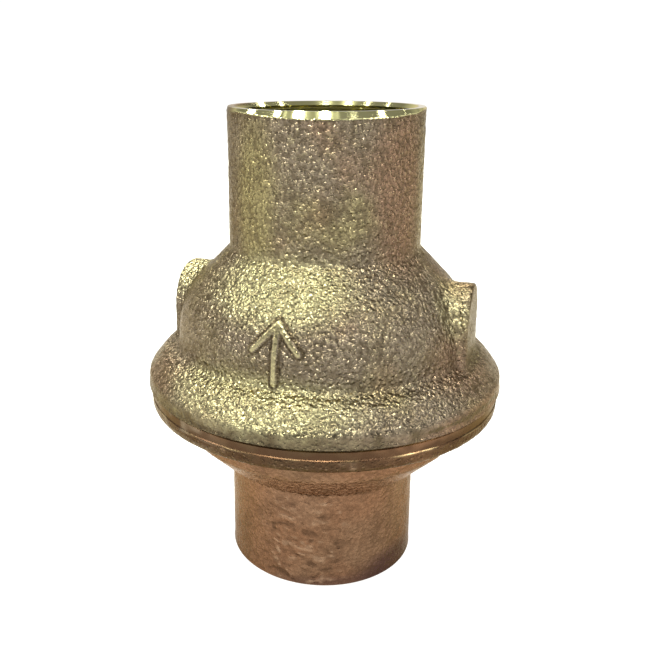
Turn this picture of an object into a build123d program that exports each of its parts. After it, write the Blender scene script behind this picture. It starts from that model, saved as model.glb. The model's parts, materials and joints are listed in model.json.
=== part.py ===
from build123d import *

import os
from math import cos, radians, sin

# In-line spring check valve: a backflow preventer for copper tube, with a solder cup at each end.
#
# A bell-shaped bronze body screws down over the spigot of a cast tail piece, and the two flanges
# meet at the seam. Inside, a poppet closes on a seat ring. Wings below the poppet slide in the
# seat ring, its stem slides in a bush held by a spider, and a spring pushes it shut. Flow runs up.
#
# Millimetres. The origin is the centre of the lower cup's rim, +Z is the way the flow goes, and
# the two wrench pads face -X and +X. The raised flow arrow is on the -Y side.

# ------------------------------------------------------------------ driving dimensions
HEIGHT = 78.4  # rim to rim
TUBE_BORE_R = 14.35  # solder cup for nominal 1 inch copper tube
CUP_DEPTH = 23.1
CUP_WALL = 1.85
THROAT_R = 12.7  # water way past the tube stops and through the seat
LIFT = 6.0  # poppet travel
RUNNING_GAP = 0.05  # radial clearance of located and sliding fits
RIM_CHAMFER = 0.5  # lead-in at the mouth of each cup
EDGE = 0.25  # broken edge on turned and cast corners

# outside of the body casting, as (radius, height) corners
NECK_BASE_Z = 55.5
SHOULDER = (24.6, 46.8)
WALL_FOOT = (25.2, 38.9)
FLANGE_CREST = (27.9, 37.5)
FLANGE_R = 30.35
FLANGE_SIDE_TOP_Z = 34.5
SEAM_Z = 32.2
SEAM_CHAMFER = 0.3
SHOULDER_ROUND = 14.0
BODY_FILLETS = [1.2, SHOULDER_ROUND, 1.2, 2.4, 1.5]

# outside of the tail casting
TAIL_DISC_R = 29.95
TAIL_BAND_LOW_Z = 30.6  # the turned band under the seam ends here
TAIL_BAND_STEP = 0.2
TAIL_DISC_LOW_Z = 28.6
BOWL_RIM = (24.9, 27.4)
BOWL_SHOULDER = (24.2, 23.9)
BOWL_FOOT = (18.6, 18.5)
CUP_TOP_Z = 17.2
TAIL_FILLETS = [1.2, 0.6, 2.4, 1.5, 1.2]

# wrench pads
PAD_FACE_X = 25.5
PAD_HALF_WIDTH = 6.7
PAD_ARCH_Z = 44.0
PAD_ROOT_X = 14.0
PAD_FOOT_Z = 36.4

# flow arrow, raised from the drafted wall
ARROW_LOW_Z = 39.8
ARROW_TOP_Z = 48.4
ARROW_BARB_Z = 44.4
ARROW_BARB_HALF = 3.6
ARROW_LINE = 1.0  # width of the raised lines that draw it
ARROW_ROOT_Y = 20.0
ARROW_RAISE = 0.55

# machined inside of the body
CHAMBER_R = 21.8
CHAMBER_TOP_Z = 43.4
THREAD_R = 22.9
THREAD_TOP_Z = 39.4
GLAND_R = 25.4
GLAND_DEPTH = 2.4
GUIDE_SEAT_R = 15.6
GUIDE_SEAT_Z = 52.4
GUIDE_MOUTH_Z = 47.8
RING_GROOVE_R = 16.9

# machined inside of the tail piece
SPIGOT_BORE_R = 20.4
SPIGOT_DECK_Z = 33.4
SPIGOT_TOP_Z = 38.8
SEAT_POCKET_R = 16.0
SEAT_POCKET_Z = 27.8

# seat ring and its seal
SEAT_Z = 34.55
SEAT_LIP_R = 13.9
SEAT_FACE_Z = 33.0
SEAT_GLAND_R = 14.5
SEAT_GLAND_Z = 30.2
SEAT_GLAND_WIDTH = 2.1
SEAT_CORD_R = 0.72
BODY_CORD_R = 1.18

# poppet, from the seal upwards and downwards
SEAL_Z = 34.6
SEAL_R = 15.3
SEAL_THICK = 2.4
HOLDER_R = 16.3
HOLDER_PLATE = 1.8
HOLDER_SKIRT_Z = 35.3
REGISTER_R = 5.3
REGISTER_RISE = 0.9
STEM_R = 3.0
STEM_TOP_Z = 54.9
STEM_LOW_Z = 23.9
COLLAR_R = 4.7
COLLAR_THICK = 1.2
CLAMP_R = 11.6
CLAMP_THICK = 1.5
WING_R = 12.5
WING_LOW_Z = 26.6
WING_TIP = 1.8
WING_THICK = 1.7
WING_COUNT = 4
HUB_R = 5.0
HUB_LOW_Z = 29.6
WASHER_R = 5.2
WASHER_THICK = 1.0
NUT_FLATS = 10.0
NUT_THICK = 4.2

# upper guide
GUIDE_RING_THICK = 2.8
GUIDE_RING_WALL = 1.6
GUIDE_ARMS = 3
GUIDE_ARM_WIDTH = 2.6
GUIDE_HUB_R = 5.6
GUIDE_HUB_TOP_Z = 53.2
SPRING_SEAT_R = 6.8
SPRING_SEAT_Z = 51.0
SPRING_CAP_R = 7.8
BUSH_R = 4.3
BUSH_LIP_R = 5.1
BUSH_LIP = 0.9
SNAP_RING_THICK = 1.1
SNAP_RING_IN_R = 14.1
SNAP_RING_GAP = 40.0  # degrees left open
SNAP_LUG_R = 1.5
SNAP_LUG_SETBACK = 4.0  # degrees from the gap to each lug
SNAP_EYE_R = 0.6

# spring
WIRE_R = 0.55
COIL_R = 5.95
DEAD_PITCH = 1.16
ACTIVE_TURNS = 3

# heights that follow
CUP_OUTER_R = TUBE_BORE_R + CUP_WALL
UPPER_STOP_Z = HEIGHT - CUP_DEPTH
RING_TOP_Z = GUIDE_SEAT_Z - GUIDE_RING_THICK
RING_LOW_Z = RING_TOP_Z - SNAP_RING_THICK - RUNNING_GAP
SEAL_TOP_Z = SEAL_Z + SEAL_THICK
HOLDER_TOP_Z = SEAL_TOP_Z + HOLDER_PLATE
REGISTER_TOP_Z = HOLDER_TOP_Z + REGISTER_RISE
COLLAR_TOP_Z = REGISTER_TOP_Z + COLLAR_THICK
BUSH_LOW_Z = COLLAR_TOP_Z + LIFT + RUNNING_GAP
GUIDE_ARM_OUT_R = GUIDE_SEAT_R - GUIDE_RING_WALL / 2


def half_section(*points):
    """The face inside a closed outline of (radius, height) points, ready to turn about Z."""
    with BuildSketch(Plane.XZ) as section:
        with BuildLine():
            Polyline(*points, close=True)
        make_face()
    return section.sketch


def cord_section(ring_radius, height, cord_radius):
    """The round section of an O-ring."""
    with BuildSketch(Plane.XZ) as section:
        with Locations((ring_radius, height)):
            Circle(cord_radius)
    return section.sketch


os.makedirs("parts", exist_ok=True)

# ------------------------------------------------------------------ flow arrow
# an arrow drawn in raised lines, cut off at a skin that stands a little proud of the bell
with BuildPart() as flow_arrow:
    with BuildSketch(Plane.XZ.offset(ARROW_ROOT_Y)):
        with BuildLine():
            Polyline((-ARROW_BARB_HALF, ARROW_BARB_Z), (0, ARROW_TOP_Z), (ARROW_BARB_HALF, ARROW_BARB_Z))
            Line((0, ARROW_LOW_Z), (0, ARROW_TOP_Z))
        trace(line_width=ARROW_LINE)
    extrude(amount=WALL_FOOT[0])
    with BuildSketch(Plane.XZ):
        with BuildLine():
            FilletPolyline(
                (CUP_OUTER_R + ARROW_RAISE, NECK_BASE_Z),
                (SHOULDER[0] + ARROW_RAISE, SHOULDER[1]),
                (WALL_FOOT[0] + ARROW_RAISE, WALL_FOOT[1]),
                radius=SHOULDER_ROUND,
            )
            Polyline(
                (WALL_FOOT[0] + ARROW_RAISE, WALL_FOOT[1]),
                (0, WALL_FOOT[1]),
                (0, NECK_BASE_Z),
                (CUP_OUTER_R + ARROW_RAISE, NECK_BASE_Z),
            )
        make_face()
    revolve(axis=Axis.Z, mode=Mode.INTERSECT)

# ------------------------------------------------------------------ valve body
with BuildPart() as valve_body:
    with BuildSketch(Plane.XZ):
        with BuildLine():
            FilletPolyline(
                (CUP_OUTER_R, HEIGHT - EDGE),
                (CUP_OUTER_R, NECK_BASE_Z),
                SHOULDER,
                WALL_FOOT,
                FLANGE_CREST,
                (FLANGE_R, FLANGE_SIDE_TOP_Z),
                (FLANGE_R, SEAM_Z + SEAM_CHAMFER),
                radius=BODY_FILLETS,
            )
            Polyline(
                (FLANGE_R, SEAM_Z + SEAM_CHAMFER),
                (FLANGE_R - SEAM_CHAMFER, SEAM_Z),
                (0, SEAM_Z),
                (0, HEIGHT),
                (CUP_OUTER_R - EDGE, HEIGHT),
                (CUP_OUTER_R, HEIGHT - EDGE),
            )
        make_face()
    revolve(axis=Axis.Z)

    # wrench pads: an arch-topped block on each side, its face square to X
    for side in (1, -1):
        pad_plane = Plane(origin=(side * PAD_ROOT_X, 0, 0), x_dir=(0, side, 0), z_dir=(side, 0, 0))
        with BuildSketch(pad_plane):
            with Locations((0, PAD_ARCH_Z)):
                Circle(PAD_HALF_WIDTH)
            with Locations((0, (PAD_ARCH_Z + PAD_FOOT_Z) / 2)):
                Rectangle(2 * PAD_HALF_WIDTH, PAD_ARCH_Z - PAD_FOOT_Z)
        extrude(amount=PAD_FACE_X - PAD_ROOT_X)

    add(flow_arrow.part)

    # everything cut from the inside, from the seam up to the rim
    revolve(
        half_section(
            (0, SEAM_Z),
            (GLAND_R, SEAM_Z),
            (GLAND_R, SEAM_Z + GLAND_DEPTH),
            (THREAD_R, SEAM_Z + GLAND_DEPTH),
            (THREAD_R, THREAD_TOP_Z),
            (CHAMBER_R, THREAD_TOP_Z + THREAD_R - CHAMBER_R),
            (CHAMBER_R, CHAMBER_TOP_Z),
            (GUIDE_SEAT_R, GUIDE_MOUTH_Z),
            (GUIDE_SEAT_R, RING_LOW_Z),
            (RING_GROOVE_R, RING_LOW_Z),
            (RING_GROOVE_R, RING_TOP_Z),
            (GUIDE_SEAT_R, RING_TOP_Z),
            (GUIDE_SEAT_R, GUIDE_SEAT_Z),
            (THROAT_R, GUIDE_SEAT_Z),
            (THROAT_R, UPPER_STOP_Z),
            (TUBE_BORE_R, UPPER_STOP_Z),
            (TUBE_BORE_R, HEIGHT - RIM_CHAMFER),
            (TUBE_BORE_R + RIM_CHAMFER, HEIGHT),
            (0, HEIGHT),
        ),
        axis=Axis.Z,
        mode=Mode.SUBTRACT,
    )
valve_body.part.label = "valve_body"
export_step(valve_body.part, "parts/valve_body.step")

# ------------------------------------------------------------------ tail piece
with BuildPart() as tail_piece:
    with BuildSketch(Plane.XZ):
        with BuildLine():
            FilletPolyline(
                (TAIL_DISC_R, TAIL_BAND_LOW_Z),
                (TAIL_DISC_R, TAIL_DISC_LOW_Z),
                BOWL_RIM,
                BOWL_SHOULDER,
                BOWL_FOOT,
                (CUP_OUTER_R, CUP_TOP_Z),
                (CUP_OUTER_R, EDGE),
                radius=TAIL_FILLETS,
            )
            Polyline(
                (CUP_OUTER_R, EDGE),
                (CUP_OUTER_R - EDGE, 0),
                (TUBE_BORE_R + RIM_CHAMFER, 0),
                (TUBE_BORE_R, RIM_CHAMFER),
                (TUBE_BORE_R, CUP_DEPTH),
                (THROAT_R, CUP_DEPTH),
                (THROAT_R, SEAT_POCKET_Z),
                (SEAT_POCKET_R, SEAT_POCKET_Z),
                (SEAT_POCKET_R, SPIGOT_DECK_Z),
                (SPIGOT_BORE_R, SPIGOT_DECK_Z),
                (SPIGOT_BORE_R, SPIGOT_TOP_Z),
                (THREAD_R - RUNNING_GAP - EDGE, SPIGOT_TOP_Z),
                (THREAD_R - RUNNING_GAP, SPIGOT_TOP_Z - EDGE),
                (THREAD_R - RUNNING_GAP, SEAM_Z),
                (TAIL_DISC_R - TAIL_BAND_STEP - SEAM_CHAMFER, SEAM_Z),
                (TAIL_DISC_R - TAIL_BAND_STEP, SEAM_Z - SEAM_CHAMFER),
                (TAIL_DISC_R - TAIL_BAND_STEP, TAIL_BAND_LOW_Z + TAIL_BAND_STEP),
                (TAIL_DISC_R, TAIL_BAND_LOW_Z),
            )
        make_face()
    revolve(axis=Axis.Z)
tail_piece.part.label = "tail_piece"
export_step(tail_piece.part, "parts/tail_piece.step")

# ------------------------------------------------------------------ body seal
with BuildPart() as body_oring:
    revolve(
        cord_section((THREAD_R + GLAND_R) / 2, SEAM_Z + GLAND_DEPTH / 2, BODY_CORD_R), axis=Axis.Z
    )
body_oring.part.label = "body_oring"
export_step(body_oring.part, "parts/body_oring.step")

# ------------------------------------------------------------------ seat ring
with BuildPart() as seat_ring:
    revolve(
        half_section(
            (THROAT_R, SEAT_POCKET_Z),
            (SEAT_POCKET_R - RUNNING_GAP, SEAT_POCKET_Z),
            (SEAT_POCKET_R - RUNNING_GAP, SEAT_GLAND_Z - SEAT_GLAND_WIDTH / 2),
            (SEAT_GLAND_R, SEAT_GLAND_Z - SEAT_GLAND_WIDTH / 2),
            (SEAT_GLAND_R, SEAT_GLAND_Z + SEAT_GLAND_WIDTH / 2),
            (SEAT_POCKET_R - RUNNING_GAP, SEAT_GLAND_Z + SEAT_GLAND_WIDTH / 2),
            (SEAT_POCKET_R - RUNNING_GAP, SEAT_FACE_Z),
            (SEAT_LIP_R + EDGE, SEAT_FACE_Z),
            (SEAT_LIP_R, SEAT_Z),
            (THROAT_R, SEAT_Z),
        ),
        axis=Axis.Z,
    )
seat_ring.part.label = "seat_ring"
export_step(seat_ring.part, "parts/seat_ring.step")

with BuildPart() as seat_oring:
    revolve(cord_section((SEAT_GLAND_R + SEAT_POCKET_R) / 2, SEAT_GLAND_Z, SEAT_CORD_R), axis=Axis.Z)
seat_oring.part.label = "seat_oring"
export_step(seat_oring.part, "parts/seat_oring.step")

# ------------------------------------------------------------------ poppet
with BuildPart() as stem:
    revolve(
        half_section(
            (0, STEM_LOW_Z),
            (STEM_R - EDGE, STEM_LOW_Z),
            (STEM_R, STEM_LOW_Z + EDGE),
            (STEM_R, REGISTER_TOP_Z),
            (COLLAR_R, REGISTER_TOP_Z),
            (COLLAR_R, COLLAR_TOP_Z),
            (STEM_R, COLLAR_TOP_Z),
            (STEM_R, STEM_TOP_Z - 2 * EDGE),
            (STEM_R - 2 * EDGE, STEM_TOP_Z),
            (0, STEM_TOP_Z),
        ),
        axis=Axis.Z,
    )
stem.part.label = "stem"
export_step(stem.part, "parts/stem.step")

with BuildPart() as disc_holder:
    revolve(
        half_section(
            (STEM_R, SEAL_TOP_Z),
            (SEAL_R, SEAL_TOP_Z),
            (SEAL_R, HOLDER_SKIRT_Z),
            (HOLDER_R, HOLDER_SKIRT_Z),
            (HOLDER_R, HOLDER_TOP_Z - EDGE),
            (HOLDER_R - EDGE, HOLDER_TOP_Z),
            (REGISTER_R, HOLDER_TOP_Z),
            (REGISTER_R, REGISTER_TOP_Z - EDGE),
            (REGISTER_R - EDGE, REGISTER_TOP_Z),
            (STEM_R, REGISTER_TOP_Z),
        ),
        axis=Axis.Z,
    )
disc_holder.part.label = "disc_holder"
export_step(disc_holder.part, "parts/disc_holder.step")

with BuildPart() as seal_disc:
    revolve(
        half_section(
            (STEM_R, SEAL_Z),
            (SEAL_R, SEAL_Z),
            (SEAL_R, SEAL_TOP_Z),
            (STEM_R, SEAL_TOP_Z),
        ),
        axis=Axis.Z,
    )
seal_disc.part.label = "seal_disc"
export_step(seal_disc.part, "parts/seal_disc.step")

# the winged clamp presses the seal from below, and its wings run in the bore of the seat ring
with BuildPart() as wing_clamp:
    revolve(
        half_section(
            (0, HUB_LOW_Z),
            (HUB_R, HUB_LOW_Z),
            (HUB_R, SEAL_Z - CLAMP_THICK),
            (CLAMP_R, SEAL_Z - CLAMP_THICK),
            (CLAMP_R, SEAL_Z),
            (0, SEAL_Z),
        ),
        axis=Axis.Z,
    )
    for wing in range(WING_COUNT):
        turn = wing * 360 / WING_COUNT
        wing_plane = Plane(
            origin=(0, 0, 0),
            x_dir=(cos(radians(turn)), sin(radians(turn)), 0),
            z_dir=(sin(radians(turn)), -cos(radians(turn)), 0),
        )
        with BuildSketch(wing_plane):
            with BuildLine():
                Polyline(
                    (HUB_R - EDGE, HUB_LOW_Z + EDGE),
                    (WING_R - WING_TIP, WING_LOW_Z),
                    (WING_R - EDGE, WING_LOW_Z),
                    (WING_R, WING_LOW_Z + EDGE),
                    (WING_R, SEAL_Z - CLAMP_THICK),
                    (CLAMP_R - EDGE, SEAL_Z - EDGE),
                    (HUB_R - EDGE, SEAL_Z - EDGE),
                    close=True,
                )
            make_face()
        extrude(amount=WING_THICK / 2, both=True)
    with Locations((0, 0, SEAL_Z)):
        Hole(radius=STEM_R)
wing_clamp.part.label = "wing_clamp"
export_step(wing_clamp.part, "parts/wing_clamp.step")

with BuildPart() as lock_washer:
    with BuildSketch(Plane.XY.offset(HUB_LOW_Z - WASHER_THICK)):
        Circle(WASHER_R)
        Circle(STEM_R, mode=Mode.SUBTRACT)
        with Locations((WASHER_R - WASHER_THICK, 0)):
            Rectangle(2 * WASHER_R - 2 * STEM_R, EDGE, mode=Mode.SUBTRACT)
    extrude(amount=WASHER_THICK)
lock_washer.part.label = "lock_washer"
export_step(lock_washer.part, "parts/lock_washer.step")

with BuildPart() as stem_nut:
    with BuildSketch(Plane.XY.offset(HUB_LOW_Z - WASHER_THICK - NUT_THICK)):
        RegularPolygon(NUT_FLATS / 2, side_count=6, major_radius=False)
    extrude(amount=NUT_THICK)
    with Locations((0, 0, HUB_LOW_Z - WASHER_THICK)):
        Hole(radius=STEM_R)
stem_nut.part.label = "stem_nut"
export_step(stem_nut.part, "parts/stem_nut.step")

# ------------------------------------------------------------------ spring
with BuildPart() as spring:
    low_end = HOLDER_TOP_Z + WIRE_R
    high_end = SPRING_SEAT_Z - WIRE_R
    active_height = high_end - low_end - 2 * DEAD_PITCH
    with BuildLine() as coil:
        Helix(DEAD_PITCH, DEAD_PITCH, COIL_R, center=(0, 0, low_end))
        Helix(active_height / ACTIVE_TURNS, active_height, COIL_R, center=(0, 0, low_end + DEAD_PITCH))
        Helix(DEAD_PITCH, DEAD_PITCH, COIL_R, center=(0, 0, high_end - DEAD_PITCH))
    with BuildSketch(Plane(origin=coil.line @ 0, z_dir=coil.line % 0)):
        Circle(WIRE_R)
    sweep(path=coil.line, is_frenet=True)
spring.part.label = "spring"
export_step(spring.part, "parts/spring.step")

# ------------------------------------------------------------------ upper guide
with BuildPart() as guide_spider:
    revolve(
        half_section(
            (GUIDE_SEAT_R - GUIDE_RING_WALL, RING_TOP_Z),
            (GUIDE_SEAT_R - RUNNING_GAP, RING_TOP_Z),
            (GUIDE_SEAT_R - RUNNING_GAP, GUIDE_SEAT_Z),
            (GUIDE_SEAT_R - GUIDE_RING_WALL, GUIDE_SEAT_Z),
        ),
        axis=Axis.Z,
    )
    with BuildSketch(Plane.XY.offset(RING_TOP_Z)):
        with PolarLocations((GUIDE_ARM_OUT_R + GUIDE_HUB_R) / 2, GUIDE_ARMS, start_angle=90):
            Rectangle(GUIDE_ARM_OUT_R - GUIDE_HUB_R, GUIDE_ARM_WIDTH)
    extrude(amount=GUIDE_RING_THICK)
    revolve(
        half_section(
            (BUSH_R, RING_TOP_Z),
            (SPRING_CAP_R, RING_TOP_Z),
            (SPRING_CAP_R, GUIDE_SEAT_Z),
            (GUIDE_HUB_R, GUIDE_HUB_TOP_Z),
            (BUSH_R, GUIDE_HUB_TOP_Z),
        ),
        axis=Axis.Z,
    )
    revolve(
        half_section(
            (0, BUSH_LOW_Z),
            (SPRING_SEAT_R, BUSH_LOW_Z),
            (SPRING_SEAT_R, SPRING_SEAT_Z),
            (BUSH_R, SPRING_SEAT_Z),
            (BUSH_R, GUIDE_HUB_TOP_Z),
            (0, GUIDE_HUB_TOP_Z),
        ),
        axis=Axis.Z,
        mode=Mode.SUBTRACT,
    )
guide_spider.part.label = "guide_spider"
export_step(guide_spider.part, "parts/guide_spider.step")

# the bush's nose comes down inside the spring and is what the stem's collar stops against
with BuildPart() as guide_bush:
    revolve(
        half_section(
            (STEM_R + RUNNING_GAP, BUSH_LOW_Z),
            (BUSH_LIP_R, BUSH_LOW_Z),
            (BUSH_LIP_R, SPRING_SEAT_Z),
            (BUSH_R, SPRING_SEAT_Z),
            (BUSH_R, GUIDE_HUB_TOP_Z + BUSH_LIP / 2),
            (STEM_R + RUNNING_GAP, GUIDE_HUB_TOP_Z + BUSH_LIP / 2),
        ),
        axis=Axis.Z,
    )
guide_bush.part.label = "guide_bush"
export_step(guide_bush.part, "parts/guide_bush.step")

# open retaining ring with two eyes for the pliers
with BuildPart() as snap_ring:
    with BuildSketch(Plane.XY.offset(RING_LOW_Z)):
        Circle(RING_GROOVE_R - RUNNING_GAP)
        Circle(SNAP_RING_IN_R, mode=Mode.SUBTRACT)
        with BuildLine():
            Polyline(
                (0, 0),
                (GLAND_R * cos(radians(SNAP_RING_GAP / 2)), -GLAND_R * sin(radians(SNAP_RING_GAP / 2))),
                (GLAND_R * cos(radians(SNAP_RING_GAP / 2)), GLAND_R * sin(radians(SNAP_RING_GAP / 2))),
                close=True,
            )
        make_face(mode=Mode.SUBTRACT)
        for lug_angle in (SNAP_RING_GAP / 2 + SNAP_LUG_SETBACK, -SNAP_RING_GAP / 2 - SNAP_LUG_SETBACK):
            with PolarLocations(SNAP_RING_IN_R, 1, start_angle=lug_angle):
                Circle(SNAP_LUG_R)
                Circle(SNAP_EYE_R, mode=Mode.SUBTRACT)
    extrude(amount=SNAP_RING_THICK)
snap_ring.part.label = "snap_ring"
export_step(snap_ring.part, "parts/snap_ring.step")
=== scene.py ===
import json
import math

import bpy
import numpy as np
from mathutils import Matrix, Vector


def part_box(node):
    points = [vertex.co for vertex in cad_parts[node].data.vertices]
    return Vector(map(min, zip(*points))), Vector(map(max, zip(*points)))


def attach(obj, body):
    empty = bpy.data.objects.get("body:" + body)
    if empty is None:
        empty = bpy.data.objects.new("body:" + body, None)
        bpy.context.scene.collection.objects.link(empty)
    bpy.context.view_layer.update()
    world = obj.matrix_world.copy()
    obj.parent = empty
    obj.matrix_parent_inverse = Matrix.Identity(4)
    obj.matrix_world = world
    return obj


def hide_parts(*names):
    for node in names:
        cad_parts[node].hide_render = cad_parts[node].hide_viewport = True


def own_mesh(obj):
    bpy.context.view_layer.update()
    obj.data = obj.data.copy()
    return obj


# The spring check valve's looks, built around its CAD frame. Shapes are worked out in millimetres and
# given to Blender in metres, in the frame's axes: the flow is taken to go +Z, the wrench pads face -X
# and +X, and the flow arrow is on the -Y side.

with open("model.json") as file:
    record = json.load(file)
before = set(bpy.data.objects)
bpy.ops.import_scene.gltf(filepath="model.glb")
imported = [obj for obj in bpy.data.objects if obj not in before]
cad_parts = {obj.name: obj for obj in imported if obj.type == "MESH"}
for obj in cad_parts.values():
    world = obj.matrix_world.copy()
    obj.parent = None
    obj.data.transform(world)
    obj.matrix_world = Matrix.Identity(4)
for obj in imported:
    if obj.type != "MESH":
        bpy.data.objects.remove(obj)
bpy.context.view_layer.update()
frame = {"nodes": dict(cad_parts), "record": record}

MM = 0.001
TURN = 2 * math.pi

# ------------------------------------------------------------------ sizes, in millimetres
body_low, body_high = (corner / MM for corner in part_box("valve_body"))
tail_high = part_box("tail_piece")[1] / MM
HEIGHT = body_high.z
SEAM_Z = body_low.z
FLANGE_R = body_high.x
TAIL_DISC_R = tail_high.x
SPIGOT_TOP_Z = tail_high.z

CUP_R = 16.2
BORE_R = 14.35
CUP_DEPTH = 23.1
THROAT_R = 12.7

RIM_EDGE = 0.2
SEAM_CHAMFER = 0.3
TAIL_BAND_LOW_Z = 30.6  # the turned band under the seam ends here
TAIL_BAND_STEP = 0.13

# outside corners as (radius, height, rounding)
BODY_OUTSIDE = [
    (CUP_R, HEIGHT - RIM_EDGE, 0),
    (CUP_R, 55.5, 1.2),
    (24.6, 46.8, 14.0),
    (25.2, 38.9, 1.2),
    (27.9, 37.5, 2.4),
    (FLANGE_R, 34.5, 1.5),
    (FLANGE_R, SEAM_Z + SEAM_CHAMFER, 0),
]
TAIL_OUTSIDE = [
    (TAIL_DISC_R, TAIL_BAND_LOW_Z, 0),
    (TAIL_DISC_R, 28.6, 1.2),
    (24.9, 27.4, 0.6),
    (24.2, 23.9, 2.4),
    (18.6, 18.5, 1.5),
    (CUP_R, 17.2, 1.2),
    (CUP_R, RIM_EDGE, 0),
]

# wrench pads: flat faces with an arched top, raised from the bell with a fillet round them
PAD_FACE_X = 25.5
PAD_HALF_WIDTH = 6.7
PAD_ARCH_Z = 44.0
PAD_EDGE = 0.5
PAD_FILLET = 1.3
WALL_LEAN = 0.8  # makes a level distance to the sloping wall about square to it
PAD_ZONE_HALF_WIDTH = 10.5  # the skin that the pads may change
PAD_ZONE_LOW_Z = 36.5
PAD_ZONE_TOP_Z = 54.0
PAD_ZONE_LEAST_X = 12
PAD_HEART_X = 10.0  # skin is lifted straight away from this point inside the bell
PAD_HEART_Z = 41.5
LIFT_STEP = 0.1
LIFT_MOST = 9.0
EVENING_PASSES = 12
SETTLING_PASSES = 3
SLOPE_NUDGE = 0.02
LEAST_SLOPE = 0.25  # squared, so that a flat place in the distance throws no point away

# flow arrow, drawn with three raised lines
ARROW_LOW_Z = 39.8
ARROW_TOP_Z = 48.4
ARROW_BARB_Z = 44.4
ARROW_BARB_HALF = 3.6
ARROW_LINE = 1.0  # width of a line
ARROW_RAISE = 0.55
FAR_AWAY = 1000.0  # keeps it off the casting's other side

# cast skin, as heights
SKIN_GUARD = 0.12  # the mean skin lies this far inside the CAD size, so its grains stay within it
LUMP_HEIGHT = 0.035
GRAIN_HEIGHT = 0.062
PIT_DEPTH = 0.07
WAVE_HEIGHT = 0.03
WEAR_AND_SHADE_HEIGHT = 0.12  # the skin height that counts as 1 in the wear_and_shade value
TAIL_SKIN_SHARE = 0.5  # the tail's skin is smoother than the body's
TAIL_GUARD_SHARE = 0.6
SCALE_AND_SHADE_TOP_Z = (35.0, 34.0)  # the dark scale and painted shade round the seam start between these
SCALE_AND_SHADE_FOOT_Z = (27.6, 28.6)  # and ends between these
UNDER_RIM_SHADE_Z = (HEIGHT - 2.2, HEIGHT - 0.9)  # painted shade under the rim's bevel darkens the skin between these
BARE_SIDE_Z = (34.4, 36.0)  # the body's grain is weaker below, on the flange's side

COLUMNS = 680  # round the axis
SKIN_STEP = 0.25  # along the outline
ARC_POINTS = 9  # in each rounding
SHARP_TURN = math.radians(30)


# ------------------------------------------------------------------ noise
def lattice(ix, iy, iz, seed):
    """A repeatable number from 0 to 1 at each whole-number point."""
    bits = (ix * 374761393 + iy * 668265263 + iz * 1442695041 + seed * 974634777) & 0xFFFFFFFF
    bits = ((bits ^ (bits >> 13)) * 1274126177) & 0xFFFFFFFF
    bits = ((bits ^ (bits >> 16)) * 2246822519) & 0xFFFFFFFF
    return (bits ^ (bits >> 15)) / 0xFFFFFFFF


LATTICE_START = 1000.0  # keeps every point of the lattice above 0


def noise(points, size, seed):
    """Smooth noise from -1 to 1, with bumps about one size across."""
    scaled = points / size + LATTICE_START
    whole = np.floor(scaled).astype(np.int64)
    part = scaled - whole
    part = part * part * (3 - 2 * part)
    total = np.zeros(len(points))
    for dx in (0, 1):
        for dy in (0, 1):
            for dz in (0, 1):
                share_x = part[:, 0] if dx else 1 - part[:, 0]
                share_y = part[:, 1] if dy else 1 - part[:, 1]
                share_z = part[:, 2] if dz else 1 - part[:, 2]
                value = lattice(whole[:, 0] + dx, whole[:, 1] + dy, whole[:, 2] + dz, seed)
                total += share_x * share_y * share_z * value
    return 2 * total - 1


def ramp(low, high, value):
    """0 below low, 1 above high, and smooth between."""
    share = np.clip((value - low) / (high - low), 0, 1)
    return share * share * (3 - 2 * share)


def warped(points, size, seeds, reach):
    """How far noise pushes each point about, along each axis."""
    return reach * np.stack([noise(points, size, seed) for seed in seeds], axis=1)


# ------------------------------------------------------------------ outlines
def rounded(corners):
    """Points along an outline of (radius, height, rounding) corners, with an arc at each rounding."""
    points = [np.array(corners[0][:2])]
    for before, here, after in zip(corners, corners[1:], corners[2:]):
        corner = np.array(here[:2])
        to_before = np.array(before[:2]) - corner
        to_after = np.array(after[:2]) - corner
        to_before /= np.linalg.norm(to_before)
        to_after /= np.linalg.norm(to_after)
        half = math.acos(np.clip(to_before @ to_after, -1, 1)) / 2
        middle = (to_before + to_after) / np.linalg.norm(to_before + to_after)
        centre = corner + middle * here[2] / math.sin(half)
        start = corner + to_before * here[2] / math.tan(half) - centre
        end = corner + to_after * here[2] / math.tan(half) - centre
        angle = math.atan2(start[0] * end[1] - start[1] * end[0], start @ end)
        for share in np.linspace(0, 1, ARC_POINTS):
            c, s = math.cos(angle * share), math.sin(angle * share)
            spoke = np.array([c * start[0] - s * start[1], s * start[0] + c * start[1]])
            points.append(centre + spoke)
    points.append(np.array(corners[-1][:2]))
    return np.array(points)


def spaced(points, step):
    """The same outline with a point about every step."""
    along = np.concatenate([[0], np.cumsum(np.linalg.norm(np.diff(points, axis=0), axis=1))])
    marks = np.linspace(0, along[-1], max(2, round(along[-1] / step) + 1))
    return np.stack([np.interp(marks, along, points[:, k]) for k in (0, 1)], axis=1)


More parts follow.
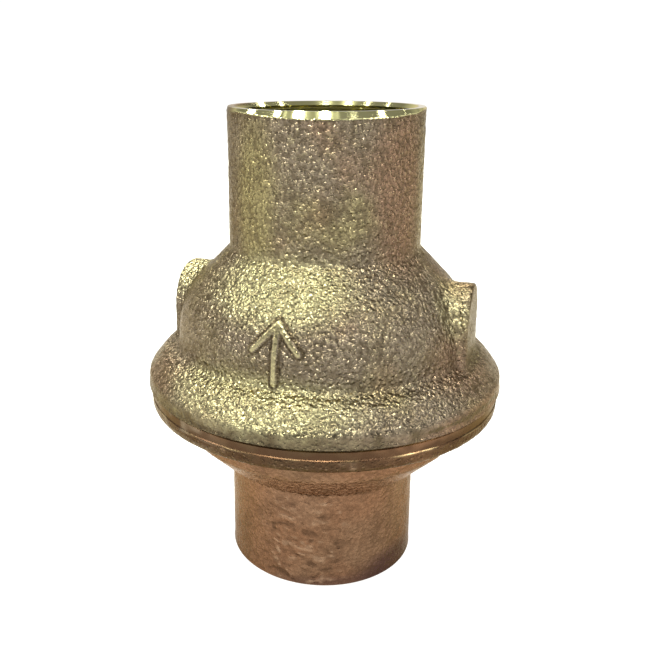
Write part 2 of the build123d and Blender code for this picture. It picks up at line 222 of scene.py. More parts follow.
# ------------------------------------------------------------------ meshes
def grid_mesh(name, grid, sharp_rows=()):
    """A closed ring of quads from a grid: rows run round the outline, columns round the axis."""
    rows, columns = grid.shape[:2]
    row = np.arange(rows)[:, None]
    column = np.arange(columns)[None, :]
    next_row = (row + 1) % rows
    next_column = (column + 1) % columns
    quads = np.stack(
        [
            row * columns + column,
            next_row * columns + column,
            next_row * columns + next_column,
            row * columns + next_column,
        ],
        axis=-1,
    ).reshape(-1, 4)
    mesh = bpy.data.meshes.new(name)
    mesh.vertices.add(rows * columns)
    mesh.vertices.foreach_set("co", (grid.reshape(-1) * MM).astype(np.float32))
    mesh.loops.add(quads.size)
    mesh.loops.foreach_set("vertex_index", quads.reshape(-1).astype(np.int32))
    mesh.polygons.add(len(quads))
    mesh.polygons.foreach_set("loop_start", np.arange(0, quads.size, 4, dtype=np.int32))
    mesh.update(calc_edges=True)
    mesh.validate()
    mesh.shade_smooth()
    if len(sharp_rows):
        ends = np.zeros(len(mesh.edges) * 2, np.int32)
        mesh.edges.foreach_get("vertices", ends)
        ends = ends.reshape(-1, 2) // columns
        sharp = (ends[:, 0] == ends[:, 1]) & np.isin(ends[:, 0], list(sharp_rows))
        flags = mesh.attributes.new("sharp_edge", "BOOLEAN", "EDGE")
        flags.data.foreach_set("value", sharp)
    return mesh


def grid_normals(grid):
    """Outward directions of a grid of points, from its neighbours."""
    along = np.roll(grid, -1, axis=0) - np.roll(grid, 1, axis=0)
    around = np.roll(grid, -1, axis=1) - np.roll(grid, 1, axis=1)
    normal = np.cross(along, around)
    return normal / np.maximum(np.linalg.norm(normal, axis=2, keepdims=True), 1e-9)


# ------------------------------------------------------------------ shape of the two castings
def chained(corners, step=3.0):
    """Points of a machined outline: every corner, and more along its long runs."""
    points = [np.array(corners[0], float)]
    for here, after in zip(corners, corners[1:]):
        here, after = np.array(here, float), np.array(after, float)
        count = max(1, math.ceil(np.linalg.norm(after - here) / step))
        for k in range(1, count + 1):
            points.append(here + (after - here) * k / count)
    return np.array(points)


def turned_grid(points):
    """The outline carried round the axis: an array of (row, column, xyz)."""
    angle = np.arange(COLUMNS) * TURN / COLUMNS
    grid = np.empty((len(points), COLUMNS, 3))
    grid[..., 0] = points[:, :1] * np.cos(angle)
    grid[..., 1] = points[:, :1] * np.sin(angle)
    grid[..., 2] = points[:, 1:]
    return grid


def corner_rows(points):
    """Rows where a closed outline turns sharply."""
    before = points - np.roll(points, 1, axis=0)
    after = np.roll(points, -1, axis=0) - points
    across = before[:, 0] * after[:, 1] - before[:, 1] * after[:, 0]
    turn = np.abs(np.arctan2(across, (before * after).sum(1)))
    return np.nonzero(turn > SHARP_TURN)[0]


def edge_fade(outline, skin_rows):
    """0 at both edges of the skin rows and inside the casting, rising to 1 two rows in."""
    count = np.arange(len(outline))
    return (np.minimum(1, count / 2) * np.clip((skin_rows - 1 - count) / 2, 0, 1))[:, None]


def side_angle(points):
    """The way round the axis at which each point lies."""
    return np.arctan2(points[..., 1], points[..., 0])


def grain(points):
    """Height of the sand-cast skin: lumps, packed grains, small pits and a slow waviness."""
    pushed = points + warped(points, 0.9, (11, 12, 13), 0.25)
    lumps = noise(pushed, 1.15, 1)
    coarse = noise(pushed, 0.7, 2)
    pits = ramp(0.55, 0.85, noise(points, 0.8, 4))
    patch = 0.8 + 0.4 * noise(points, 5.0, 5)
    height = patch * (LUMP_HEIGHT * lumps + GRAIN_HEIGHT * coarse) - PIT_DEPTH * pits
    return np.minimum(height + WAVE_HEIGHT * noise(points, 3.0, 6), SKIN_GUARD)


def bell_distance(points):
    """Roughly how far each point is outside the bell and its two wrench pads, with their fillets."""
    radius = np.hypot(points[:, 0], points[:, 1])
    wall = np.interp(points[:, 2], bell_outline[::-1, 1], bell_outline[::-1, 0])
    bell = (radius - wall) * WALL_LEAN
    above = np.maximum(points[:, 2] - PAD_ARCH_Z, 0)
    arch = np.hypot(points[:, 1], above) - PAD_HALF_WIDTH + PAD_EDGE
    face = np.abs(points[:, 0]) - PAD_FACE_X + PAD_EDGE
    outside = np.hypot(np.maximum(arch, 0), np.maximum(face, 0))
    pad = outside + np.minimum(np.maximum(arch, face), 0) - PAD_EDGE
    blend = np.maximum(PAD_FILLET - np.abs(bell - pad), 0) / PAD_FILLET
    return np.minimum(bell, pad) - blend * blend * PAD_FILLET / 4


def settle(points):
    """Moves points straight onto the surface of the bell and pads."""
    for _ in range(SETTLING_PASSES):
        here = bell_distance(points)
        slope = np.empty_like(points)
        for axis in range(3):
            nudge = np.zeros(3)
            nudge[axis] = SLOPE_NUDGE
            slope[:, axis] = (bell_distance(points + nudge) - here) / SLOPE_NUDGE
        points = points - slope * (here / np.maximum((slope**2).sum(1), LEAST_SLOPE))[:, None]
    return points


def raise_pads(grid, rows):
    """Lifts the skin over the two wrench pads, then evens out the spacing of its points."""
    skin = grid[:rows]
    near = (skin[..., 2] > PAD_ZONE_LOW_Z) & (skin[..., 2] < PAD_ZONE_TOP_Z)
    near &= (np.abs(skin[..., 1]) < PAD_ZONE_HALF_WIDTH) & (np.abs(skin[..., 0]) > PAD_ZONE_LEAST_X)
    points = skin[near]
    heart = np.sign(points[:, :1]) * (PAD_HEART_X, 0, 0) + (0, 0, PAD_HEART_Z)
    way = points - heart
    way /= np.linalg.norm(way, axis=1, keepdims=True)
    lift = np.zeros(len(points))
    for step in np.arange(LIFT_STEP, LIFT_MOST, LIFT_STEP):
        inside = bell_distance(points + way * step) < 0
        lift[inside] = step
    skin[near] = settle(points + way * lift[:, None])
    for _ in range(EVENING_PASSES):
        beside = np.roll(skin, 1, axis=1)[1:-1], np.roll(skin, -1, axis=1)[1:-1]
        evened = skin.copy()
        evened[1:-1] = (skin[:-2] + skin[2:] + beside[0] + beside[1]) / 4
        skin[near] = settle(evened[near])


def arrow_line(points):
    """How far each point is from the middle of the flow arrow's lines, in line widths."""
    half, height = np.abs(points[:, 0]), points[:, 2]
    shaft = np.hypot(half, np.maximum(np.maximum(ARROW_LOW_Z - height, height - ARROW_TOP_Z), 0))
    fall = ARROW_TOP_Z - ARROW_BARB_Z
    ahead = half * ARROW_BARB_HALF + (ARROW_TOP_Z - height) * fall
    along = np.clip(ahead / (ARROW_BARB_HALF**2 + fall**2), 0, 1)
    barb = np.hypot(half - along * ARROW_BARB_HALF, ARROW_TOP_Z - height - along * fall)
    behind = FAR_AWAY * (points[:, 1] > 0)
    return np.minimum(shaft, barb) / ARROW_LINE + behind


def arrow_height(points):
    """The arrow's height, with softly cast edges."""
    return ARROW_RAISE * (1 - ramp(0.2, 0.62, arrow_line(points)))


def arrow_highlight_and_shade(points):
    """The arrow's top painted pale as a highlight and its foot painted dark as shade, as a change of
    the wear_and_shade value.
    """
    line = arrow_line(points)
    top = 1 - ramp(0.25, 0.45, line)
    foot = ramp(0.42, 0.6, line) * (1 - ramp(0.7, 1.0, line))
    return 2.0 * top - 2.2 * foot


def seam_scale_and_shade(points):
    """Dark scale and painted shade round the seam between the castings, on the flange's side and the
    tail's disc, broken up along them, as a wear_and_shade value.
    """
    beside = ramp(*SCALE_AND_SHADE_TOP_Z, points[:, 2]) * ramp(*SCALE_AND_SHADE_FOOT_Z, points[:, 2])
    drawn_out = points * (0.11, 0.11, 1.4)
    gaps = ramp(0.25, 0.5, noise(drawn_out, 1.0, 51)) + 0.9 * noise(points, 1.6, 52)
    return -beside * (0.35 + 1.3 * gaps)


# ------------------------------------------------------------------ body casting
# Each casting comes with three values at every point. machined is 1 on turned faces. wear_and_shade is
# above 0 on rubbed tops and painted highlights, and below 0 where hollows and shaded places are painted
# dark. grit is how much of the finest grain shows.
CAMERA_SIDE = math.radians(-70.6)  # the way round the axis that faces the viewer
BEVEL_SIDE = CAMERA_SIDE + 0.04
BEVEL_DEEP = 0.85
BEVEL_IN = 0.5
CORNER_SIDE = math.radians(95)  # to the viewer's left
CORNER_DROP = 0.5
RAGGED = 0.07  # how uneven the bevel's lower edge is
NECK_STRETCH = 8.0  # this much of the neck is drawn down with its rim

bell_outline = spaced(rounded(BODY_OUTSIDE), SKIN_STEP)
body_skin_rows = len(bell_outline)
body_inside = chained(
    [
        (FLANGE_R - SEAM_CHAMFER, SEAM_Z),
        (25.4, SEAM_Z),
        (25.4, SEAM_Z + 2.4),
        (22.9, SEAM_Z + 2.4),
        (22.9, 39.4),
        (21.8, 40.5),
        (21.8, 43.4),
        (15.6, 47.8),
        (15.6, 48.45),
        (16.9, 48.45),
        (16.9, 49.6),
        (15.6, 49.6),
        (15.6, 52.4),
        (THROAT_R, 52.4),
        (THROAT_R, HEIGHT - CUP_DEPTH),
        (BORE_R, HEIGHT - CUP_DEPTH),
        (BORE_R, HEIGHT - 1.25),
        (BORE_R + 0.12, HEIGHT - 1.15),
        (BORE_R + 0.12, HEIGHT - 0.7),
        (BORE_R + 0.62, HEIGHT),
        (CUP_R - RIM_EDGE, HEIGHT),
    ]
)
body_outline = np.concatenate([bell_outline, body_inside])


def bevel_share(grid):
    """1 where the rim is turned deepest, on the viewer's side, falling to 0 about 60 degrees away."""
    return np.clip((np.cos(side_angle(grid) - BEVEL_SIDE) - 0.45) / 0.55, 0, 1) ** 0.7


def corner_share(grid):
    """1 at the viewer's left, where the rim keeps its cast corner, and 0 from 40 degrees away."""
    return ramp(0.75, 0.95, np.cos(side_angle(grid) - CAMERA_SIDE + CORNER_SIDE))


def broken_edge(row, seed):
    """How bright a turned edge is along its row: rubbed in places and scaled over between them."""
    return np.clip(0.1 + 0.6 * noise(row * (1, 1, 0), 2.5, seed), 0, 1)


def cast_body():
    """The bell casting: rough skin outside, raised pads and arrow, turned bore and rim."""
    grid = turned_grid(body_outline)
    raise_pads(grid, body_skin_rows)
    normal = grid_normals(grid)
    flat = grid.reshape(-1, 3)
    shape = grid.shape[:2]
    is_skin = np.zeros(shape)
    is_skin[:body_skin_rows] = 1
    fade = edge_fade(body_outline, body_skin_rows)
    arrow = arrow_height(flat).reshape(shape) * is_skin
    strength = 0.7 + 0.3 * ramp(*BARE_SIDE_Z, flat[:, 2]).reshape(shape)
    strength *= 1 - 0.7 * arrow / ARROW_RAISE
    height = grain(flat).reshape(shape) * fade * strength
    grid += normal * (height + arrow - SKIN_GUARD * fade)[..., None]

    # the rim's turned bevel is deep on the viewer's side, where the casting stands off centre
    share = bevel_share(grid)
    ragged = RAGGED * noise(flat, 1.0, 21).reshape(shape)
    cast_corner = corner_share(grid)
    deep = BEVEL_DEEP * share + ragged * np.minimum(share * 3, 1) + CORNER_DROP * cast_corner
    stretch_low_z = HEIGHT - NECK_STRETCH
    neck = is_skin * (grid[..., 2] > stretch_low_z)
    stretch = (grid[..., 2] - stretch_low_z) / NECK_STRETCH
    grid[..., 2] -= neck * stretch * deep
    rim_out = len(body_outline) - 1
    pull = 1 - BEVEL_IN * share[rim_out] / CUP_R
    grid[rim_out, :, :2] *= pull[:, None]

    machined = 1 - is_skin
    machined[[0, rim_out - 1, rim_out]] = 1 - cast_corner[0]
    machined[body_skin_rows] = broken_edge(grid[body_skin_rows], 42)
    # painted shade on the neck just under the rim's bevel
    under_rim_shade = 0.8 * is_skin * ramp(*UNDER_RIM_SHADE_Z, grid[..., 2])
    # the arrow's painted highlight and shade, and the scale and painted shade round the seam
    tint = (arrow_highlight_and_shade(flat) + seam_scale_and_shade(flat)).reshape(shape)
    # raised skin is painted paler as a highlight, and its hollows darker as painted shade
    wear_and_shade = height / WEAR_AND_SHADE_HEIGHT - under_rim_shade + tint * is_skin
    grit = is_skin * strength
    grit[0] = 0
    return grid, {"machined": machined, "wear_and_shade": wear_and_shade, "grit": grit}


def add_piece(name, grid, outline, finish, body, node):
    """Makes the mesh object that stands for a CAD casting, with its finish as point attributes."""
    mesh = grid_mesh(name, grid, corner_rows(outline))
    for label, values in finish.items():
        layer = mesh.attributes.new(label, "FLOAT", "POINT")
        layer.data.foreach_set("value", values.reshape(-1).astype(np.float32))
    piece = bpy.data.objects.new(name, mesh)
    bpy.context.scene.collection.objects.link(piece)
    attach(piece, body)
    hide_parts(node)
    return piece


body_grid, body_finish = cast_body()
body_piece = add_piece(
    "bell_casting", body_grid, body_outline, body_finish, "housing", "valve_body"
)

# ------------------------------------------------------------------ tail casting
TAIL_BAND_R = TAIL_DISC_R - TAIL_BAND_STEP
WRINKLED_SIDE = CAMERA_SIDE - 0.25
CUP_ROOT_Z = 17.5  # where the cup meets the bowl
ROOT_SHADOW_HALF = 0.35  # of the painted shadow line there
tail_skin = spaced(rounded(TAIL_OUTSIDE), SKIN_STEP)
tail_inside = chained(
    [
        (CUP_R - RIM_EDGE, 0),
        (BORE_R + 0.5, 0),
        (BORE_R, 0.5),
        (BORE_R, CUP_DEPTH),
        (THROAT_R, CUP_DEPTH),
        (THROAT_R, 27.8),
        (16.0, 27.8),
        (16.0, 33.4),
        (20.4, 33.4),
        (20.4, SPIGOT_TOP_Z),
        (22.6, SPIGOT_TOP_Z),
        (22.85, SPIGOT_TOP_Z - 0.25),
        (22.85, SEAM_Z),
        (TAIL_BAND_R - SEAM_CHAMFER, SEAM_Z),
        (TAIL_BAND_R, SEAM_Z - SEAM_CHAMFER),
        (TAIL_BAND_R, TAIL_BAND_LOW_Z + TAIL_BAND_STEP),
    ]
)
tail_outline = np.concatenate([tail_skin, tail_inside])


def cast_tail():
    """The tail casting: smoother skin, a cup wrinkled in front, and a turned band under the seam."""
    grid = turned_grid(tail_outline)
    normal = grid_normals(grid)
    flat = grid.reshape(-1, 3)
    shape = grid.shape[:2]
    fade = edge_fade(tail_outline, len(tail_skin))
    front = ramp(0.8, 1.0, np.cos(side_angle(flat) - WRINKLED_SIDE))
    wavy = warped(flat, 1.7, (33, 34, 35), 0.9)
    wrinkle = noise(flat * (0.7, 0.7, 1.7) + wavy, 1.0, 31) * ramp(CUP_ROOT_Z, 15.0, flat[:, 2])
    wrinkle_height = wrinkle * (0.01 + 0.08 * front)
    height = (TAIL_SKIN_SHARE * grain(flat) + wrinkle_height).reshape(shape) * fade
    grid += normal * (height - TAIL_GUARD_SHARE * SKIN_GUARD * fade)[..., None]

    foot_shine = broken_edge(grid[0], 41)
    machined = np.ones(shape)
    machined[1 : len(tail_skin)] = 0
    machined[0] = foot_shine
    machined[-3:] = 0  # the turned band under the seam takes the skin's colours: scale, and painted shade
    wear_and_shade = height / WEAR_AND_SHADE_HEIGHT + seam_scale_and_shade(flat).reshape(shape)
    wear_and_shade[[0, -1]] -= 1 - foot_shine
    # a painted shadow along the cup's root under the bowl, broken up by noise
    root_shadow = np.exp(-(((flat[:, 2] - CUP_ROOT_Z) / ROOT_SHADOW_HALF) ** 2))
    root_shadow *= ramp(-1.0, 0.6, noise(flat, 9.0, 32))
    # wrinkle crests painted paler and troughs painted darker, as painted shading, with the painted
    # shadow at the root
    wear_and_shade += (0.8 * wrinkle * front - 1.6 * root_shadow).reshape(shape)
    grit = (0.5 + 0.4 * ramp(27.0, 28.0, grid[..., 2])) * fade
    return grid, {"machined": machined, "wear_and_shade": wear_and_shade, "grit": grit}


tail_grid, tail_finish = cast_tail()
tail_piece = add_piece(
    "tail_casting", tail_grid, tail_outline, tail_finish, "housing", "tail_piece"
)

# ------------------------------------------------------------------ spring
WIRE_R = 0.55
DEAD_PITCH = 1.16  # the end turns lie shut
ACTIVE_TURNS = 3
STEPS_A_TURN = 48
WIRE_SIDES = 16

spring_low, spring_high = (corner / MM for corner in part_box("spring"))


def coil_mesh(name):
    """The spring's wire: three open turns between two shut ones, with flat cut ends."""
    turns = ACTIVE_TURNS + 2
    turn = np.linspace(0, turns, turns * STEPS_A_TURN + 1)
    low, high = spring_low.z + WIRE_R, spring_high.z - WIRE_R
    marks = [0, 1, turns - 1, turns]
    rise = np.interp(turn, marks, [low, low + DEAD_PITCH, high - DEAD_PITCH, high])[:, None]
    side = np.arange(WIRE_SIDES) * TURN / WIRE_SIDES
    radius = spring_high.x - WIRE_R + WIRE_R * np.cos(side)[None, :]
    angle = (turn * TURN)[:, None]
    level = rise + WIRE_R * np.sin(side)
    grid = np.stack([radius * np.cos(angle), radius * np.sin(angle), level], axis=2)
    rings = np.arange(len(turn))[:, None] * WIRE_SIDES + np.arange(WIRE_SIDES)
    ahead = np.roll(rings, -1, axis=1)
    quads = np.stack([rings[:-1], rings[1:], ahead[1:], ahead[:-1]], axis=2).reshape(-1, 4)
    cut_ends = [rings[0].tolist(), rings[-1][::-1].tolist()]
    mesh = bpy.data.meshes.new(name)
    mesh.from_pydata((grid * MM).reshape(-1, 3).tolist(), [], quads.tolist() + cut_ends)
    mesh.shade_smooth()
    return mesh


coil = bpy.data.objects.new("coil_spring", coil_mesh("coil_spring"))
bpy.context.scene.collection.objects.link(coil)
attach(coil, "housing")
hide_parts("spring")


# ------------------------------------------------------------------ materials
GRAINS_A_METRE = 1500.0
GRAIN_PUSH = 0.0008
GRAIN_RELIEF = 0.00023
MACHINED_ROUGHNESS = 0.09


def new_material(name):
    """A node material with its Principled shader and a helper to add nodes."""
    material = bpy.data.materials.new(name)
    material.use_nodes = True
    tree = material.node_tree
    shader = tree.nodes["Principled BSDF"]

    def node(kind, links=None, **settings):
        made = tree.nodes.new(kind)
        for key, value in settings.items():
            setattr(made, key, value)
        for socket, source in (links or {}).items():
            if isinstance(source, bpy.types.NodeSocket):
                tree.links.new(source, made.inputs[socket])
            else:
                made.inputs[socket].default_value = source
        return made

    return material, tree, shader, node


def mixed(node, factor, first, second):
    """A colour mix of two colours or sockets."""
    made = node("ShaderNodeMix", {"Factor": factor}, data_type="RGBA")
    for socket, value in (("A", first), ("B", second)):
        target = [i for i in made.inputs if i.name == socket and i.type == "RGBA"][0]
        if isinstance(value, bpy.types.NodeSocket):
            made.id_data.links.new(value, target)
        else:
            target.default_value = (*value, 1)
    return [o for o in made.outputs if o.type == "RGBA"][0]


def ranged(node, value, low, high, out_low=0.0, out_high=1.0):
    """A number carried from one range to another, smoothly."""
    made = node(
        "ShaderNodeMapRange",
        {"Value": value, "From Min": low, "From Max": high, "To Min": out_low, "To Max": out_high},
        interpolation_type="SMOOTHSTEP",
    )
    return made.outputs["Result"]


def vector_math(node, operation, first, second):
    """Two vectors or sockets added, subtracted or multiplied."""
    return node("ShaderNodeVectorMath", {0: first, 1: second}, operation=operation).outputs[0]


def multiplied(node, first, second):
    """The product of two numbers or sockets."""
    return node("ShaderNodeMath", {0: first, 1: second}, operation="MULTIPLY").outputs[0]


def noise_texture(node, place, scale, detail):
    """The outputs of a noise texture."""
    return node("ShaderNodeTexNoise", {"Vector": place, "Scale": scale, "Detail": detail}).outputs


def spot(node, place, centre, reach):
    """1 round a point of the object, falling to 0 at a reach in x, y and z, in millimetres."""
    away = vector_math(node, "SUBTRACT", place, tuple(c * MM for c in centre))
    scaled = vector_math(node, "MULTIPLY", away, tuple(1 / (r * MM) for r in reach))
    far = node("ShaderNodeVectorMath", {0: scaled}, operation="LENGTH").outputs["Value"]
    return ranged(node, far, 0.35, 1.0, 1.0, 0.0)


def facing(right_of_front, radius, height):
    """A place on the object, by its angle to the right of the viewer's side."""
    angle = CAMERA_SIDE + math.radians(right_of_front)
    return (radius * math.cos(angle), radius * math.sin(angle), height)


def cast_material(name, base, first_drift, second_drift, dark, pale, machined_colour, spots):
    """Sand-cast bronze: packed grains with dark gaps and pale crowns, over drifts of two colours on a
    base colour, with painted highlights and painted shade from the spots and the wear_and_shade value.
    The gaps are partly dark oxide and partly painted shade; the crowns are a painted highlight.
    """
    material, tree, shader, node = new_material(name)
    place = node("ShaderNodeTexCoord").outputs["Object"]
    machined, wear_and_shade, grit = (
        node("ShaderNodeAttribute", attribute_name=label).outputs["Fac"]
        for label in ("machined", "wear_and_shade", "grit")
    )
    drift = noise_texture(node, place, 55.0, 4.0)["Color"]
    cloud = noise_texture(node, place, 260.0, 4.0)["Fac"]
    speck = noise_texture(node, place, 2600.0, 2.0)["Fac"]

    # packed grains: rounded cells, pushed about so that no two look alike
    push = noise_texture(node, place, GRAINS_A_METRE, 2.0)["Color"]
    centred = vector_math(node, "SUBTRACT", push, (0.5,) * 3)
    shift = vector_math(node, "MULTIPLY", centred, (GRAIN_PUSH,) * 3)
    pushed = vector_math(node, "ADD", place, shift)
    cell = node("ShaderNodeTexVoronoi", {"Vector": pushed, "Scale": GRAINS_A_METRE}).outputs["Distance"]
    crown = {0: speck, 1: 0.5, 2: ranged(node, cell, 0.9, 0.0)}
    rough_crown = node("ShaderNodeMath", crown, operation="MULTIPLY_ADD").outputs[0]

    # colour: drifts and spots, some of them painted highlights and painted shade, then the painted
    # highlights and shade of wear_and_shade, then the grain's gaps painted darker and crowns painted
    # paler, then the machined faces
    parts = node("ShaderNodeSeparateColor", {"Color": drift}).outputs
    colour = mixed(node, ranged(node, parts[0], 0.48, 0.68, 0.0, 0.7), base, first_drift)
    colour = mixed(node, ranged(node, parts[1], 0.52, 0.68, 0.0, 0.6), colour, second_drift)
    for tint, amount, centre, reach in spots:
        share = multiplied(node, spot(node, place, centre, reach), amount)
        colour = mixed(node, share, colour, tint)
    colour = mixed(node, ranged(node, cloud, 0.45, 0.7, 0.0, 0.35), colour, dark)
    # wear_and_shade painted in: paler on rubbed tops and painted highlights, darker in painted shade
    colour = mixed(node, ranged(node, wear_and_shade, 0.2, 1.6, 0.0, 0.7), colour, pale)
    colour = mixed(node, ranged(node, wear_and_shade, 0.0, -1.5, 0.0, 0.9), colour, dark)
    # the grain's gaps painted darker, partly as shade, and its crowns painted paler as a highlight
    low = multiplied(node, ranged(node, rough_crown, 0.8, 0.3, 0.0, 0.6), grit)
    high = multiplied(node, ranged(node, rough_crown, 0.95, 1.3, 0.0, 0.3), grit)
    colour = mixed(node, low, colour, dark)
    colour = mixed(node, high, colour, pale)
    colour = mixed(node, machined, colour, machined_colour)
    tree.links.new(colour, shader.inputs["Base Color"])

    # gloss and relief
    shader.inputs["Metallic"].default_value = 1.0
    shader.inputs["Specular Tint"].default_value = (0.7, 0.62, 0.5, 1)
    rough = ranged(node, speck, 0.3, 0.7, 0.23, 0.36)
    gloss = {"Factor": machined, "A": rough, "B": MACHINED_ROUGHNESS}
    rough = node("ShaderNodeMix", gloss, data_type="FLOAT").outputs[0]
    tree.links.new(rough, shader.inputs["Roughness"])
    relief = {"Height": multiplied(node, rough_crown, grit), "Strength": 1.0, "Distance": GRAIN_RELIEF}
    bump = node("ShaderNodeBump", relief)
    tree.links.new(bump.outputs["Normal"], shader.inputs["Normal"])
    return material


TAUPE = (0.182, 0.145, 0.105)
OLIVE = (0.25, 0.21, 0.10)
GOLD_HIGHLIGHT = (0.38, 0.35, 0.195)
COPPER = (0.205, 0.122, 0.08)
TAIL_COPPER = (0.19, 0.097, 0.053)
SHADED = (0.05, 0.033, 0.018)
CUP_FOOT_DARK = (0.06, 0.03, 0.03)
COPPER_PAINTED_LIGHT = (0.38, 0.21, 0.125)
SCALE = (0.095, 0.08, 0.045)

# drifts of colour, painted highlights and painted shade that lie where the photograph has them, as
# (colour, amount, centre, reach)
body_spots = [
    (OLIVE, 0.9, facing(-45, 15, 64), (6, 6, 20)),
    (COPPER, 0.85, facing(44, 15, 66), (8, 8, 22)),
    (OLIVE, 0.6, facing(78, 15, 66), (6, 6, 20)),
    # painted highlights in gold on the dome's front left and on the flange's top
    (GOLD_HIGHLIGHT, 0.9, facing(-25, 19, 52), (16, 16, 7)),
    (GOLD_HIGHLIGHT, 0.8, facing(-25, 28, 37), (22, 22, 5)),
    (COPPER, 0.6, facing(55, 25, 40), (12, 12, 8)),
    (COPPER, 0.9, facing(52, 30, 33), (20, 20, 2.6)),
    (COPPER, 0.3, facing(5, 30, 33), (16, 16, 2.0)),
    (SCALE, 0.8, facing(-60, 30, 32.6), (20, 20, 3.0)),
    (SCALE, 0.6, facing(-10, 30, 32.6), (20, 20, 3.0)),
    (SCALE, 0.85, (PAD_FACE_X + 0.3, 0, 42), (1.8, 10, 12)),
    (SHADED, 0.45, facing(-77, 16, 64), (7, 7, 24)),
    # painted highlights on the two pads
    (GOLD_HIGHLIGHT, 0.7, (-PAD_FACE_X + 2, -1, 49), (6, 9, 7)),
    (GOLD_HIGHLIGHT, 0.45, (PAD_FACE_X - 3.5, -6.5, 46.5), (5, 4, 6)),
]
body_piece.data.materials.append(
    cast_material(
        "cast_skin",
        base=TAUPE,
        first_drift=OLIVE,
        second_drift=COPPER,
        dark=(0.075, 0.055, 0.032),
        pale=(0.42, 0.37, 0.2),
        machined_colour=(0.80, 0.76, 0.38),
        spots=body_spots,
    )
)
# the tail's drifts of colour, with painted light and painted shade, as (colour, amount, centre, reach)
tail_spots = [
    (TAUPE, 0.9, facing(-60, 29, 30), (16, 16, 6)),
    (SHADED, 0.85, facing(-12, 29, 30), (24, 24, 5)),
    (SHADED, 0.8, facing(55, 29, 30), (22, 22, 4.5)),
    (TAUPE, 0.7, facing(-64, 29, 30), (18, 18, 5)),
    # painted light over the bowl's underside and the cup's top, where shade falls
    (COPPER_PAINTED_LIGHT, 0.95, facing(0, 20.5, 20.8), (28, 28, 4.4)),
    # darker at the cup's foot, most to the right of the front
    (CUP_FOOT_DARK, 0.85, facing(48, 16, 1), (10, 10, 5)),
    (CUP_FOOT_DARK, 0.5, facing(10, 16, 0), (14, 14, 2.5)),
]
tail_piece.data.materials.append(
    cast_material(
        "cast_tail_skin",
        base=TAIL_COPPER,
        first_drift=(0.185, 0.112, 0.066),
        second_drift=(0.22, 0.125, 0.075),
        dark=(0.06, 0.032, 0.018),
        pale=(0.34, 0.22, 0.14),
        machined_colour=(0.5, 0.38, 0.2),
        spots=tail_spots,
    )
)


def plain_material(name, colour, metallic, roughness, grain_scale, amount):
    """A machined, moulded or drawn finish with a fine variation of colour and gloss."""
    material, tree, shader, node = new_material(name)
    place = node("ShaderNodeTexCoord").outputs["Object"]
    cloud = noise_texture(node, place, grain_scale, 3.0)["Fac"]
    darker = tuple(c * (1 - amount) for c in colour)
    varied = mixed(node, ranged(node, cloud, 0.3, 0.7), colour, darker)
    gloss = ranged(node, cloud, 0.3, 0.7, roughness * 0.8, roughness * 1.2)
    tree.links.new(varied, shader.inputs["Base Color"])
    tree.links.new(gloss, shader.inputs["Roughness"])
    shader.inputs["Metallic"].default_value = metallic
    return material


inner_finishes = {
    "turned_brass": plain_material("turned_brass", (0.80, 0.66, 0.32), 1.0, 0.25, 300.0, 0.15),
    "stainless": plain_material("stainless", (0.62, 0.61, 0.60), 1.0, 0.28, 400.0, 0.15),
    "spring_steel": plain_material("spring_steel", (0.50, 0.50, 0.50), 1.0, 0.3, 400.0, 0.2),
    "seal_rubber": plain_material("seal_rubber", (0.025, 0.025, 0.027), 0.0, 0.55, 500.0, 0.3),
    "bush_plastic": plain_material("bush_plastic", (0.82, 0.80, 0.74), 0.0, 0.4, 500.0, 0.08),
}
slot_of = {entry["node"]: entry["material_slot"] for entry in frame["record"]["subparts"]}
for name, cad_node in frame["nodes"].items():
    finish = inner_finishes.get(slot_of[name])
    if finish is not None:
        for material_slot in cad_node.material_slots:
            material_slot.material = finish
coil.data.materials.append(inner_finishes["spring_steel"])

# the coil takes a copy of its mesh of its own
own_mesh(coil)


# ------------------------------------------------------------------ floor, light and camera
FLOOR_HALF = 4.0
AIM = (0, 0, HEIGHT * MM / 2)
KEY_TINT = (0.97, 1.0, 0.86)
LAMP_FAR = 0.6
SMALL_LAMPS = [(-115, 46), (-84, 58), (39, 58), (85, 56), (117, 45)]  # degrees right of front, and up


def soft_light(name, place, size, power, colour=(1, 1, 1)):
    """A rectangular lamp at a place in metres, turned to the middle of the object."""
    data = bpy.data.lights.new(name, "AREA")
    data.shape = "RECTANGLE"
    data.size, data.size_y = size
    data.energy = power
    data.color = colour
    lamp = bpy.data.objects.new(name, data)
    bpy.context.scene.collection.objects.link(lamp)
    lamp.location = place
    lamp.rotation_euler = (Vector(AIM) - Vector(place)).to_track_quat("-Z", "Y").to_euler()


floor_mesh = bpy.data.meshes.new("floor")
corners = [(x * FLOOR_HALF, y * FLOOR_HALF, 0) for x, y in ((-1, -1), (1, -1), (1, 1), (-1, 1))]
floor_mesh.from_pydata(corners, [], [(0, 1, 2, 3)])
floor = bpy.data.objects.new("floor", floor_mesh)
bpy.context.scene.collection.objects.link(floor)
floor_material, _, floor_shader, _ = new_material("pale_floor")
floor_shader.inputs["Base Color"].default_value = (0.3, 0.3, 0.3, 1)
floor_shader.inputs["Roughness"].default_value = 0.9
floor_shader.inputs["Emission Color"].default_value = (1, 1, 1, 1)
floor_shader.inputs["Emission Strength"].default_value = 0.9
floor_mesh.materials.append(floor_material)

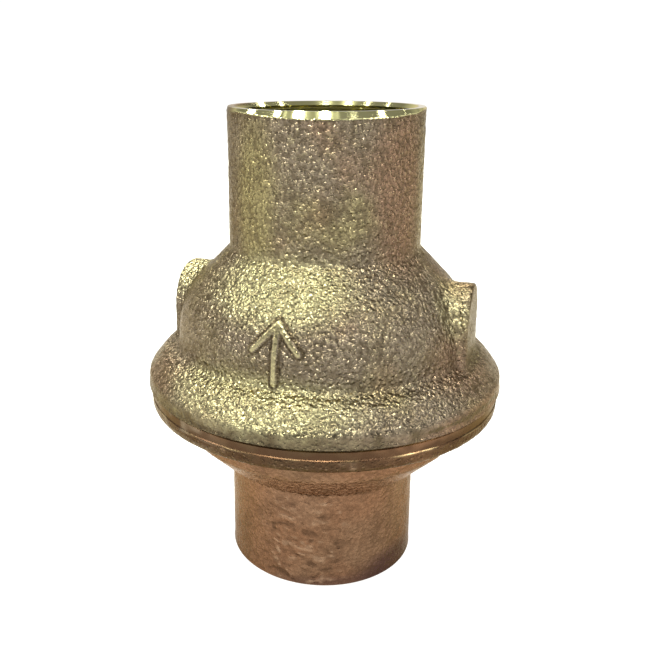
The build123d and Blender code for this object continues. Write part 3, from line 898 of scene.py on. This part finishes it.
world = bpy.data.worlds.new("studio")
bpy.context.scene.world = world
world.use_nodes = True
sky = world.node_tree
sky_way = sky.nodes.new("ShaderNodeTexCoord").outputs["Generated"]
sky_parts = sky.nodes.new("ShaderNodeSeparateXYZ")
sky.links.new(sky_way, sky_parts.inputs[0])
sky_ramp = sky.nodes.new("ShaderNodeValToRGB")
sky.links.new(sky_parts.outputs["Z"], sky_ramp.inputs["Fac"])
sky_ramp.color_ramp.elements[0].position = 0.2
sky_ramp.color_ramp.elements[0].color = (1.05, 1.05, 1.05, 1)
sky_ramp.color_ramp.elements[1].position = 0.5
sky_ramp.color_ramp.elements[1].color = (0.24, 0.24, 0.24, 1)
sky.links.new(sky_ramp.outputs["Color"], sky.nodes["Background"].inputs["Color"])

soft_light("key_left", (-0.15, -0.27, 0.62), (0.06, 0.06), 3.35, KEY_TINT)
soft_light("key_front", (0.08, -0.26, 0.62), (0.06, 0.06), 2.75, KEY_TINT)
soft_light("back", (-0.14, 0.34, 0.72), (0.4, 0.3), 12.0, (0.98, 1.0, 0.88))
soft_light("right", (0.55, -0.05, 0.5), (0.2, 0.2), 2.0, (0.98, 1.0, 0.9))
soft_light("side", (-0.55, -0.25, 0.45), (0.12, 0.3), 2.0, (1.0, 0.98, 0.88))

# small lamps to the sides and behind, which put separate highlights on the rim
for number, (right_of_front, rise) in enumerate(SMALL_LAMPS):
    across, up = LAMP_FAR * math.cos(math.radians(rise)), LAMP_FAR * math.sin(math.radians(rise))
    turn = CAMERA_SIDE + math.radians(right_of_front)
    place = (across * math.cos(turn), across * math.sin(turn), up)
    soft_light(f"lamp_{number}", place, (0.05, 0.05), 0.2)

camera_data = bpy.data.cameras.new("camera")
camera = bpy.data.objects.new("camera", camera_data)
bpy.context.scene.collection.objects.link(camera)
heading = math.radians(19.43)
pitch = math.radians(14.91)  # downward
camera.location = (0.03794, -0.12523, 0.08553)
camera.rotation_euler = (math.pi / 2 - pitch, 0, heading)
camera_data.lens = 43.69
camera_data.sensor_width = 36.0
camera_data.shift_x = 0.0538
camera_data.shift_y = -0.0846
camera_data.clip_start = 0.001
bpy.context.scene.camera = camera
bpy.context.scene.view_settings.view_transform = "Standard"
